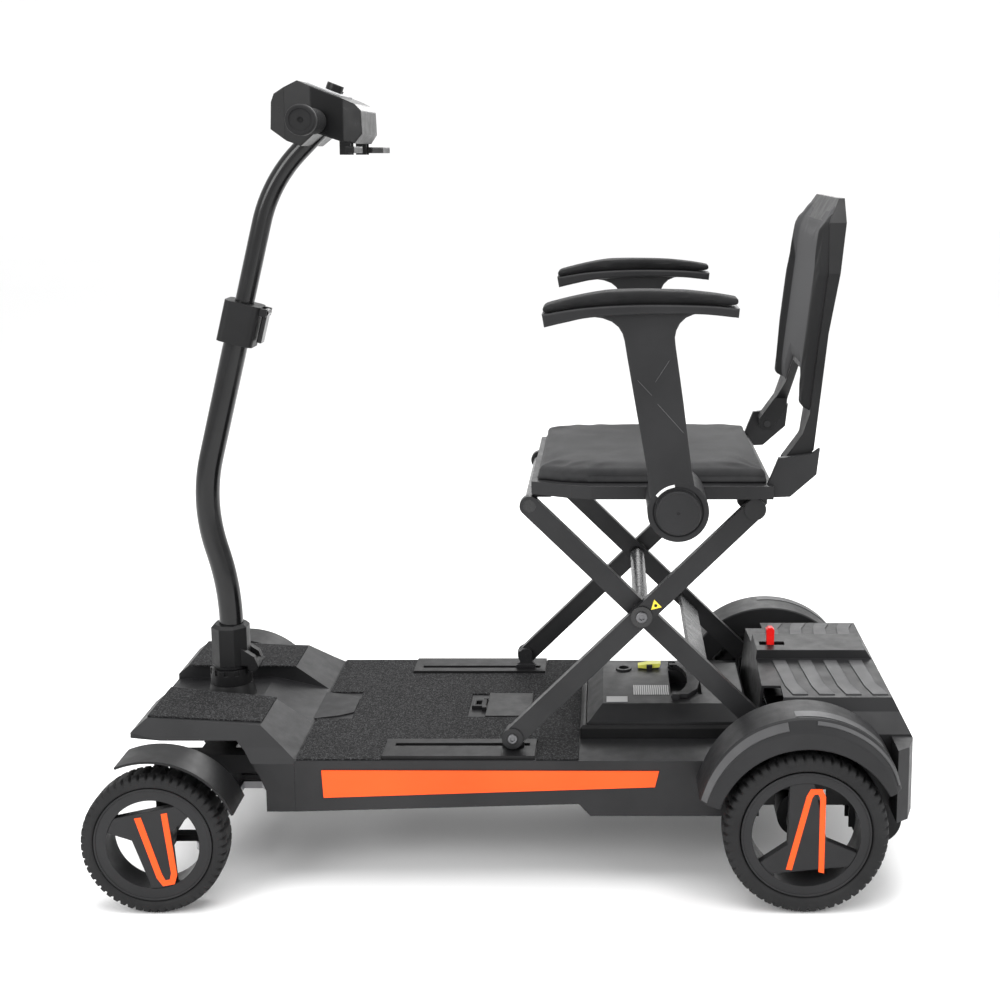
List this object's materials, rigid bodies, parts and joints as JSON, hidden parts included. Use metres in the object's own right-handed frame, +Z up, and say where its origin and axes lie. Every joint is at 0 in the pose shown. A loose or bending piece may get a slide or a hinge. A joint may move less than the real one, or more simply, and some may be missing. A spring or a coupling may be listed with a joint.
{
  "type": "folding mobility scooter",
  "caption": "Folding mobility scooter: flat deck with anti-slip mat, crossed seat legs, seat with backrest and armrests, folding tiller with grips and spoked wheels.",
  "frame": {"origin": "on the ground below the middle of the overall box", "axes": "front of the scooter to -X, rider's left to -Y, +Z up"},
  "size_m": [1.0234, 0.558, 1.0138],
  "materials": {
    "black_frame": "satin black powder coat",
    "leg_paint": "satin charcoal paint",
    "steel": "bright steel",
    "cover_plastic": "charcoal moulded plastic, fine texture",
    "dark_plastic": "black moulded plastic",
    "gloss_black": "gloss black",
    "grip_mat": "speckled anti-slip rubber",
    "rubber": "black rubber",
    "orange": "orange trim",
    "tyre": "black tyre rubber",
    "rim": "black rim with orange inlay",
    "silver": "silver panel",
    "red": "red",
    "lime": "yellow-green",
    "pad": "black synthetic leather",
    "face_pad": "light grey padded face with dark bolsters",
    "tube": "gloss black tube"
  },
  "bodies": {
    "chassis": {"frame_rails": "black_frame", "cross_members": "black_frame", "deck_body": "cover_plastic", "belly_pan": "dark_plastic", "grip_mats": "grip_mat", "side_strips": "orange", "deck_rails": "dark_plastic", "deck_latch": "black_frame", "front_cover": "cover_plastic", "front_axle": "black_frame", "steering_base": "dark_plastic", "battery_housing": "dark_plastic", "rear_cover": "cover_plastic", "rear_fenders": "cover_plastic", "drive_motors": "black_frame"},
    "latch_loop": {"latch_loop": "steel"},
    "battery": {"battery_pack": "cover_plastic"},
    "battery_handle": {"battery_handle": "dark_plastic"},
    "battery_lever": {"battery_lever": "lime"},
    "freewheel_lever": {"freewheel_lever": "red"},
    "anti_tip_wheels": {"anti_tip_wheels": "rubber"},
    "steering_column": {"steering_column": "black_frame"},
    "lock_ring": {"lock_ring": "dark_plastic"},
    "tiller": {"tiller_socket": "gloss_black", "lower_tube": "tube", "collar": "gloss_black"},
    "collar_lever": {"collar_lever": "gloss_black"},
    "handlebar": {"upper_tube": "tube", "head_shell": "dark_plastic", "dash_panel": "silver", "grips": "rubber"},
    "throttle_paddle": {"throttle_paddle": "gloss_black"},
    "brake_lever": {"brake_lever": "gloss_black"},
    "speed_knob": {"speed_knob": "gloss_black"},
    "horn_button": {"horn_button": "gloss_black"},
    "tie_rod": {"tie_rod": "steel"},
    "knuckle_left": {"front_knuckle_left": "gloss_black"},
    "knuckle_right": {"front_knuckle_right": "gloss_black"},
    "front_wheel_left": {"front_rim_left": "rim", "front_tyre_left": "tyre"},
    "front_wheel_right": {"front_rim_right": "rim", "front_tyre_right": "tyre"},
    "rear_wheel_left": {"rear_rim_left": "rim", "rear_tyre_left": "tyre"},
    "rear_wheel_right": {"rear_rim_right": "rim", "rear_tyre_right": "tyre"},
    "inner_legs": {"inner_legs": "leg_paint", "inner_leg_shafts": "steel"},
    "outer_legs": {"outer_legs": "leg_paint", "outer_leg_pins": "dark_plastic"},
    "feet": {"foot_blocks": "dark_plastic"},
    "seat": {"seat_base": "dark_plastic", "seat_brackets": "black_frame", "seat_cushion": "pad"},
    "backrest": {"backrest_frame": "dark_plastic", "backrest_cushion": "face_pad"},
    "armrest_left": {"armrest_post_left": "leg_paint", "armrest_pad_left": "pad"},
    "armrest_right": {"armrest_post_right": "leg_paint", "armrest_pad_right": "pad"}
  },
  "joints": [
    {"name": "steer", "type": "hinge", "parent": "chassis", "child": "steering_column", "pos_m": [-0.384, 0, 0.19], "axis": [0, 0, 1], "range_deg": [-35, 35]},
    {"name": "left_knuckle_turn", "type": "hinge", "parent": "chassis", "child": "knuckle_left", "pos_m": [-0.4227, -0.182, 0.089], "axis": [0, 0, 1], "range_deg": [-36, 36]},
    {"name": "right_knuckle_turn", "type": "hinge", "parent": "chassis", "child": "knuckle_right", "pos_m": [-0.4227, 0.182, 0.089], "axis": [0, 0, 1], "range_deg": [-36, 36]},
    {"name": "tie_rod_pin", "type": "hinge", "parent": "steering_column", "child": "tie_rod", "pos_m": [-0.339, 0, 0.07], "axis": [0, 0, 1], "range_deg": [-36, 36]},
    {"name": "lock_ring_twist", "type": "hinge", "parent": "steering_column", "child": "lock_ring", "pos_m": [-0.384, 0, 0.218], "axis": [0, 0, 1], "range_deg": [-25, 0]},
    {"name": "tiller_fold", "type": "hinge", "parent": "steering_column", "child": "tiller", "pos_m": [-0.35, 0, 0.233], "axis": [0, 1, 0], "range_deg": [0, 54]},
    {"name": "collar_lever_swing", "type": "hinge", "parent": "tiller", "child": "collar_lever", "pos_m": [-0.31843, 0, 0.71472], "axis": [0, 1, 0], "range_deg": [-110, 0]},
    {"name": "handlebar_height", "type": "slide", "parent": "tiller", "child": "handlebar", "axis": [0.2436, 0, 0.9699], "range_m": [-0.1, 0.04]},
    {"name": "speed_knob_turn", "type": "hinge", "parent": "handlebar", "child": "speed_knob", "pos_m": [-0.22287, 0, 0.9991], "axis": [0.3633, 0, 0.9317], "range_deg": [-135, 135]},
    {"name": "horn_press", "type": "slide", "parent": "handlebar", "child": "horn_button", "axis": [-0.3633, 0, -0.9317], "range_m": [0, 0.002], "stiffness_N_per_m": 400, "springref_m": -0.001},
    {"name": "brake_squeeze", "type": "hinge", "parent": "handlebar", "child": "brake_lever", "pos_m": [-0.1966, -0.06, 0.926], "axis": [0, -1, 0], "range_deg": [0, 12], "stiffness_Nm_per_rad": 0.3, "springref_deg": -17.19},
    {"name": "throttle_push", "type": "hinge", "parent": "handlebar", "child": "throttle_paddle", "pos_m": [-0.1966, 0.06, 0.926], "axis": [0, -1, 0], "range_deg": [0, 12], "stiffness_Nm_per_rad": 0.3, "springref_deg": -17.19},
    {"name": "front_left_roll", "type": "hinge", "parent": "knuckle_left", "child": "front_wheel_left", "pos_m": [-0.4227, -0.23, 0.089], "axis": [0, 1, 0], "continuous": true},
    {"name": "front_right_roll", "type": "hinge", "parent": "knuckle_right", "child": "front_wheel_right", "pos_m": [-0.4227, 0.23, 0.089], "axis": [0, 1, 0], "continuous": true},
    {"name": "rear_left_roll", "type": "hinge", "parent": "chassis", "child": "rear_wheel_left", "pos_m": [0.3738, -0.225, 0.1015], "axis": [0, 1, 0], "continuous": true},
    {"name": "rear_right_roll", "type": "hinge", "parent": "chassis", "child": "rear_wheel_right", "pos_m": [0.3738, 0.225, 0.1015], "axis": [0, 1, 0], "continuous": true},
    {"name": "anti_tip_roll", "type": "hinge", "parent": "chassis", "child": "anti_tip_wheels", "pos_m": [0.471, 0, 0.089], "axis": [0, 1, 0], "continuous": true},
    {"name": "latch_loop_lift", "type": "hinge", "parent": "chassis", "child": "latch_loop", "pos_m": [-0.03714, 0, 0.173], "axis": [0, 1, 0], "range_deg": [0, 95]},
    {"name": "battery_lift", "type": "slide", "parent": "chassis", "child": "battery", "axis": [0, 0, -1], "range_m": [-0.04, 0]},
    {"name": "battery_handle_raise", "type": "hinge", "parent": "battery", "child": "battery_handle", "pos_m": [0.222, 0, 0.2081], "axis": [0, 1, 0], "range_deg": [-70, 0]},
    {"name": "battery_lever_press", "type": "hinge", "parent": "battery", "child": "battery_lever", "pos_m": [0.19, 0.058, 0.2085], "axis": [0, 1, 0], "range_deg": [-6, 0], "stiffness_Nm_per_rad": 0.2, "springref_deg": 8.59},
    {"name": "freewheel_lever_tilt", "type": "hinge", "parent": "chassis", "child": "freewheel_lever", "pos_m": [0.353, -0.005, 0.24], "axis": [0, 1, 0], "range_deg": [-15, 25]},
    {"name": "seat_fold", "type": "hinge", "parent": "chassis", "child": "inner_legs", "pos_m": [0.3366, 0, 0.1902], "axis": [0, -1, 0], "range_deg": [0, 31.6]},
    {"name": "leg_crossing", "type": "hinge", "parent": "inner_legs", "child": "outer_legs", "pos_m": [0.17398, 0, 0.35001], "axis": [0, -1, 0], "range_deg": [-65, 0.5]},
    {"name": "seat_level", "type": "hinge", "parent": "outer_legs", "child": "seat", "pos_m": [0.31378, 0, 0.48739], "axis": [0, -1, 0], "range_deg": [-0.5, 33]},
    {"name": "foot_level", "type": "hinge", "parent": "outer_legs", "child": "feet", "pos_m": [0.01136, 0, 0.1902], "axis": [0, -1, 0], "range_deg": [-0.5, 33]},
    {"name": "backrest_fold", "type": "hinge", "parent": "seat", "child": "backrest", "pos_m": [0.35878, 0, 0.541], "axis": [0, -1, 0], "range_deg": [0, 88]},
    {"name": "left_armrest_flip", "type": "hinge", "parent": "seat", "child": "armrest_left", "pos_m": [0.21378, -0.22, 0.51], "axis": [0, 1, 0], "range_deg": [0, 90]},
    {"name": "right_armrest_flip", "type": "hinge", "parent": "seat", "child": "armrest_right", "pos_m": [0.21378, 0.22, 0.51], "axis": [0, 1, 0], "range_deg": [0, 90]}
  ],
  "couplings": [
    {"joint": "left_knuckle_turn", "follows": "steer", "ratio": 1},
    {"joint": "right_knuckle_turn", "follows": "steer", "ratio": 1},
    {"joint": "tie_rod_pin", "follows": "steer", "ratio": -1},
    {"joint": "leg_crossing", "follows": "seat_fold", "ratio": -2},
    {"joint": "seat_level", "follows": "seat_fold", "ratio": 1},
    {"joint": "foot_level", "follows": "seat_fold", "ratio": 1},
    {"joint": "backrest_fold", "follows": "seat_fold", "ratio": 2.75},
    {"joint": "tiller_fold", "follows": "seat_fold", "ratio": 1.6875}
  ]
}
